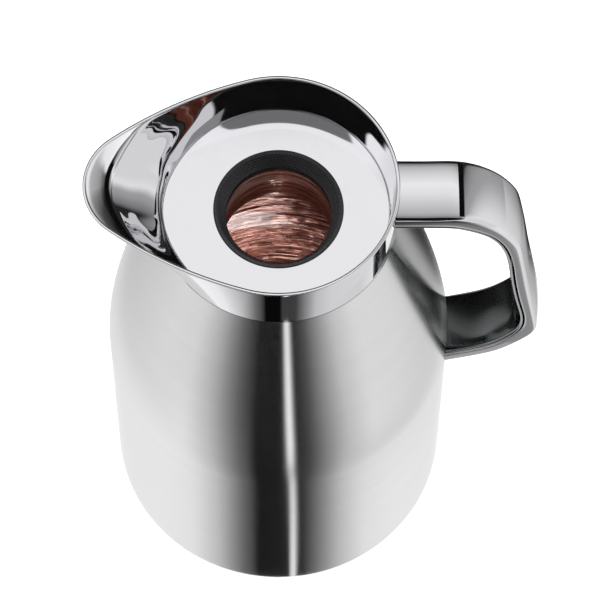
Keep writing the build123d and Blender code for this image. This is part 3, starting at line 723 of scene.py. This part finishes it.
def build_collar():
    sections = []
    outer_rows = [(level * collar_height, mouth + level * (rim_radius - mouth), reach)
                  for level, reach in outer_shares]
    outside = smooth_run(outer_rows, (1, 0.012, 0.041), (1, 0.012, 0.037), 26)
    for height, radius, reach in outside[:-1]:
        sections.append(outline(radius, reach, 0, collar_foot + height))
    sections = [s for s in sections if s[0].z < (collar_top - rim_round) * mm]
    for turn in np.linspace(0, pi / 2, 6):
        inset = rim_round * (1 - cos(turn))
        sections.append(outline(rim_radius - inset, 1, inset, collar_top - rim_round * (1 - sin(turn))))
    for turn in np.linspace(pi / 2, 0, 6):
        inset = collar_wall - rim_round * (1 - cos(turn))
        sections.append(outline(rim_radius - inset, 1, inset, collar_top - rim_round * (1 - sin(turn))))
    deep = collar_top - deck_top
    basin_rows = [(cove, basin_radius, cove_reach, cove_reach)]
    basin_rows += [(share * deep, radius, reach, flank) for share, radius, reach, flank in basin_shares]
    inside = smooth_run(basin_rows, (1, 0.07, 0.001, 0.02), (0.9, 0.15, 0.2, 0.04), 60)
    for height, radius, reach, flank in inside[::-1]:
        if height < deep - rim_round:
            sections.append(outline(radius, reach, collar_wall, deck_top + height, flank))
    for turn in np.linspace(0, pi / 2, 7)[1:]:
        radius = foot_radius + (basin_radius - foot_radius) * cos(turn)
        reach = foot_reach + (cove_reach - foot_reach) * cos(turn)
        sections.append(outline(radius, reach, collar_wall, deck_top + cove * (1 - sin(turn))))
    sections.append(outline(foot_radius, foot_reach, collar_wall, ledge_top))
    for radius, height in ((spigot_inside, ledge_top), (spigot_inside, spigot_foot),
                           (spigot_outside, spigot_foot), (spigot_outside, collar_foot)):
        sections.append(outline(radius, 0, 0, height))
    return finish_piece(loft(sections, closed=True), "collar_skin", "jug", chrome,
                        ["spout_collar"], 50)


build_collar()

# %% [markdown]
# ## Deck plate
# The basin's floor is a flat polished plate with a round hole. Its edges are just broken, so that
# they catch a thin line of light.

# %% Deck plate
deck_radius, hole_radius, broken = 42.9, 25.2, 0.15


def build_deck():
    sections = [outline(deck_radius, foot_reach, collar_wall, deck_foot)]
    sections.append(outline(deck_radius, foot_reach, collar_wall, deck_top - broken))
    sections.append(outline(deck_radius - broken, foot_reach, collar_wall, deck_top))
    for radius in (38.0, 33.0, 28.0, hole_radius + broken):
        sections.append(outline(radius, 0, 0, deck_top))
    sections.append(outline(hole_radius, 0, 0, deck_top - broken))
    sections.append(outline(hole_radius, 0, 0, deck_foot))
    return finish_piece(loft(sections, closed=True), "deck_skin", "jug", deck_chrome,
                        ["deck_plate"], 30)


build_deck()

# %% [markdown]
# ## Neck ring
# The rubber ring closes the gap between deck and flask. Fine ribs run round its funnel, and a
# spun profile with half-round bumps gives them.

# %% Neck ring
ring_bore, ring_fit, ring_edge, deck_fit = 20.6, 21.45, 29.0, 25.1
flask_lip, ring_flange, ring_skirt = 223.7, 228.85, 2.0
bead_centre, bead = (24.7, 229.9), 0.4
funnel_top, funnel_foot = (24.1, 230.3), (21.1, 225.1)
ribs, rib_steps, rib_height, rib_way = 5, 8, 0.3, (-0.87, 0.5)


def build_neck_ring():
    profile = [(ring_bore, flask_lip - ring_skirt), (ring_fit, flask_lip - ring_skirt)]
    profile += [(ring_fit, flask_lip), (ring_edge, flask_lip), (ring_edge, ring_flange)]
    profile += [(deck_fit, ring_flange), (deck_fit, bead_centre[1])]
    profile += arc_points(bead_centre, bead, 0, 90, 4)
    inward, down = funnel_foot[0] - funnel_top[0], funnel_foot[1] - funnel_top[1]
    for step in range(ribs * rib_steps + 1):
        share = step / (ribs * rib_steps)
        lift = rib_height * abs(sin(share * ribs * pi)) if 0.05 < share < 0.95 else 0
        profile.append((funnel_top[0] + share * inward + lift * rib_way[0],
                        funnel_top[1] + share * down + lift * rib_way[1]))
    profile += [(ring_bore + 0.25, funnel_foot[1] - 0.05), (ring_bore, funnel_foot[1] - 0.3)]
    return finish_piece(turned_piece(profile, 192), "neck_ring_skin", "jug", rubber,
                        ["neck_gasket"], 50)


build_neck_ring()

# %% [markdown]
# ## Flask
# The inner bottle is what the eye meets in the mouth. Its wall is spun, and then every ring is
# pushed in and out by a little noise, as hand-blown glass is.

# %% Flask
bottle_radius, bottle_neck, bottle_floor, glass, lip_edge = 52.0, 21.5, 24.0, 1.5, 26.1
side_start, side_end, neck_start, bottle_top = 54.0, 140.0, 205.0, 223.2
floor_flat, floor_pull, side_pull, throat_pull = 0.62, 8, 42, 32
ripple_low, ripple_high, ripple_fade, ripple_height = 60, 219, 10, 0.32


def bottle_profile(shift, top, count=64):
    """The bottle's profile, set out from its inside by a shift."""
    radius, neck, floor = bottle_radius + shift, bottle_neck + shift, bottle_floor - shift
    side, rise = side_start - shift, 0.6 * shift
    wall_end, neck_end = side_end + rise, neck_start + rise
    points = bezier_points((0, floor), (floor_flat * radius, floor), (radius, floor + floor_pull),
                           (radius, side), count // 2)
    points += [(radius, z) for z in np.linspace(side, wall_end, 20)[1:-1]]
    points += bezier_points((radius, wall_end), (radius, wall_end + side_pull),
                            (neck, neck_end - throat_pull), (neck, neck_end), count)
    return points + [(neck, z) for z in np.linspace(neck_end, top, 8)[1:]]


def build_flask():
    outside_top = bottle_top - 1.0
    inside = bottle_profile(0, bottle_top)
    outside = bottle_profile(glass, outside_top)
    lip = arc_points((bottle_neck + 0.5, bottle_top), 0.5, 180, 90, 3)[1:]
    lip += [(lip_edge, flask_lip), (lip_edge, outside_top)]
    bm = turned_piece(inside + lip + outside[::-1], 160)
    for v in bm.verts:
        away = Vector((v.co.x, v.co.y, 0))
        level = v.co.z / mm
        if away.length > 5 * mm and ripple_low < level < ripple_high:
            ripple = noise.noise(Vector((v.co.x * 18, v.co.y * 18, v.co.z * 110)))
            ripple += 0.5 * noise.noise(Vector((v.co.x * 40, v.co.y * 40, v.co.z * 300)))
            fade = min(1, (ripple_high - level) / ripple_fade, (level - ripple_low) / ripple_fade)
            v.co += away.normalized() * ripple * ripple_height * mm * fade
    return finish_piece(bm, "flask_skin", "jug", mirror_glass, ["flask_inner_glass"], 60)


build_flask()

# %% [markdown]
# ## Handle line
# The handle is a bent channel with a crowned front, and a cover that closes it on the hand side.
# A dark groove runs between the two. Both follow one line, so they are lofted from the same run
# of places and thicknesses. A row of the line gives how far it stands back from the handle's
# outermost point, how far it lies below the arm or the knee, and how thick the handle is there.

# %% Handle line
handle_reach, handle_top = 106.2, collar_top - 4.6
knee_level = handle_top - 97.7
arm_rows = ((48.2, 0.0, 8.2), (35.7, 0.4, 8.8), (26.0, 5.4, 8.4), (19.8, 11.7, 7.4), (14.5, 20.2, 7.2),
            (9.6, 32.2, 8.1), (6.4, 55.2, 8.1))
knee_rows = ((2.6, -16.5, 8.1), (0.0, 0.0, 8.5), (1.1, 11.7, 9.0), (6.8, 21.6, 8.5), (16.2, 32.0, 8.8),
             (25.9, 37.6, 8.8))
slope, foot_place, foot_thick = radians(24), 66.0, 8.8
handle_rows = [(rim_radius - 2.7, handle_top, 8.2)]
for level, rows in ((handle_top, arm_rows), (knee_level, knee_rows)):
    handle_rows += [(handle_reach - setback, level - drop, thick) for setback, drop, thick in rows]
foot_fall = (handle_rows[-1][0] - foot_place) * tan(slope)
handle_rows.append((foot_place, handle_rows[-1][1] - foot_fall, foot_thick))
handle_run = smooth_run(handle_rows, (1, 0, 0), (-cos(slope), -sin(slope), 0), 260)
print("handle line", len(handle_run), "places, down to", round(float(handle_run[-1, 1]), 1), "mm")

# %% [markdown]
# ## Handle surfaces
# The long front face is crowned like a barrel stave, and the arm above it is nearly flat. The two
# surfaces meet in a soft edge, which is blended here by a hyperbola. The loft then ends on the
# collar's round wall above and on the shell's round wall below.

# %% Handle surfaces
side, edge_round = 13.0, 2.0
crown_height, arm_crown, blend = 1.9, 0.45, 1.2
crown_radius = (side**2 + crown_height**2) / (2 * crown_height)
arm_radius = (side**2 + arm_crown**2) / (2 * arm_crown)
front_top, front_low = np.array(handle_rows[6][:2]), np.array(handle_rows[8][:2])
front_fall = (front_low - front_top) / np.linalg.norm(front_low - front_top)
front_face = np.array([-front_fall[1], front_fall[0]])
arm_start, foot_end, arm_count, foot_count = 48.4, 72.5, 120, 140


def crown_depth(place, inward, w):
    """How far the crowned front lies below the handle's outer line, at a distance w from its middle."""
    swell = arm_radius - sqrt(arm_radius**2 - w**2)
    sag = crown_radius - sqrt(crown_radius**2 - w**2) - swell
    proud = (np.dot(place - front_top, front_face) + sag) / max(0.15, -np.dot(inward, front_face))
    return swell + 0.5 * (proud + sqrt(proud**2 + blend**2))


def handle_loft(section):
    """Lofts a section along the handle. section(place, inward, thick) gives (across, depth) pairs."""
    run = np.gradient(handle_run[:, :2], axis=0)
    run /= np.linalg.norm(run, axis=1)[:, None]
    sections = []
    for i, (x, z, thick) in enumerate(handle_run):
        if (i < arm_count and x < arm_start) or (i > foot_count and x < foot_end):
            continue
        place, inward = np.array([x, z]), np.array([run[i, 1], -run[i, 0]])
        pairs = [(w, place + inward * depth) for w, depth in section(place, inward, thick)]
        sections.append([Vector((at[0] * mm, w * mm, at[1] * mm)) for w, at in pairs])
    collar, shell = rim_radius * mm, (shell_radius + 0.1) * mm
    start = [Vector((sqrt(collar**2 - p.y**2) + 0.02 * mm, p.y, p.z)) for p in sections[0]]
    reached = [(p, (p.x - sqrt(shell**2 - p.y**2)) / cos(slope)) for p in sections[-1]]
    end = [p - Vector((cos(slope), 0, sin(slope))) * way for p, way in reached]
    return loft([start] + sections + [end])


print("front crown", round(crown_radius, 1), "mm, arm crown", round(arm_radius, 1), "mm")

# %% [markdown]
# ## Handle strap
# The strap's section is half of a channel, mirrored: the crowned front, a rounded edge, a flat
# side with a small break at its foot, and the hollow behind.

# %% Handle strap
cover_thick, groove, side_wall, skin = 1.3, 0.75, 2.2, 2.0


def strap_section(place, inward, thick):
    foot = thick - cover_thick - groove
    half = [(w, crown_depth(place, inward, w)) for w in np.linspace(0, side - edge_round, 9)]
    top = half[-1][1]
    middle = (side - edge_round, top + edge_round)
    half += arc_points(middle, edge_round, -90, 0, 7)[1:]
    half += [(side, foot * 0.7 + top * 0.3), (side, foot - 0.3), (side - 0.1, foot - 0.1)]
    half += [(side - 0.3, foot), (side - side_wall, foot), (side - side_wall, skin + top)]
    return [(-w, d) for w, d in half[:0:-1]] + half


finish_piece(handle_loft(strap_section), "handle_strap_skin", "jug", strap_chrome,
             ["handle_strap"], 55)

# %% [markdown]
# ## Handle cover
# The cover is a thin plate on the hand side, with well-rounded long edges. Its chrome has a dark colour,
# which is painted reflection of the dark surroundings that it faces.

# %% Handle cover
cover_round = 1.1


def cover_section(place, inward, thick):
    back = thick - cover_thick
    half = [(0, back), (side - 0.5, back), (side - 0.15, back + 0.05), (side, back + 0.2)]
    half += arc_points((side - cover_round, thick - cover_round), cover_round, 0, 90, 6)
    half += [(8.0, thick), (4.0, thick), (0, thick)]
    return [(-w, d) for w, d in half[-2:0:-1]] + half


finish_piece(handle_loft(cover_section), "handle_cover_skin", "jug", dark_painted_cover_chrome,
             ["handle_cover"], 55)

# %% [markdown]
# ## Pieces that stay as they are
# The base and the inner pieces are plain turned or moulded shapes, and their solids already show
# them. They only get their finishes.

# %% Finishes for the solids
plain_finishes = {
    "collar_lock_ring": plastic, "collar_seal": rubber, "deck_seal": rubber,
    "flask_outer_glass": mirror_glass, "flask_spacers": felt, "shoulder_bumper": rubber,
    "base_ring": plastic, "foot_ring": rubber, "base_cap": plastic, "base_seal": rubber,
    "flask_cushion": rubber, "lower_bracket": steel, "handle_screws": steel,
}
for name, material in plain_finishes.items():
    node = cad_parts[name]
    if not node.data.materials:
        node.data.materials.append(material)
    for slot in node.material_slots:
        slot.material = material
print(len(plain_finishes), "solids finished")
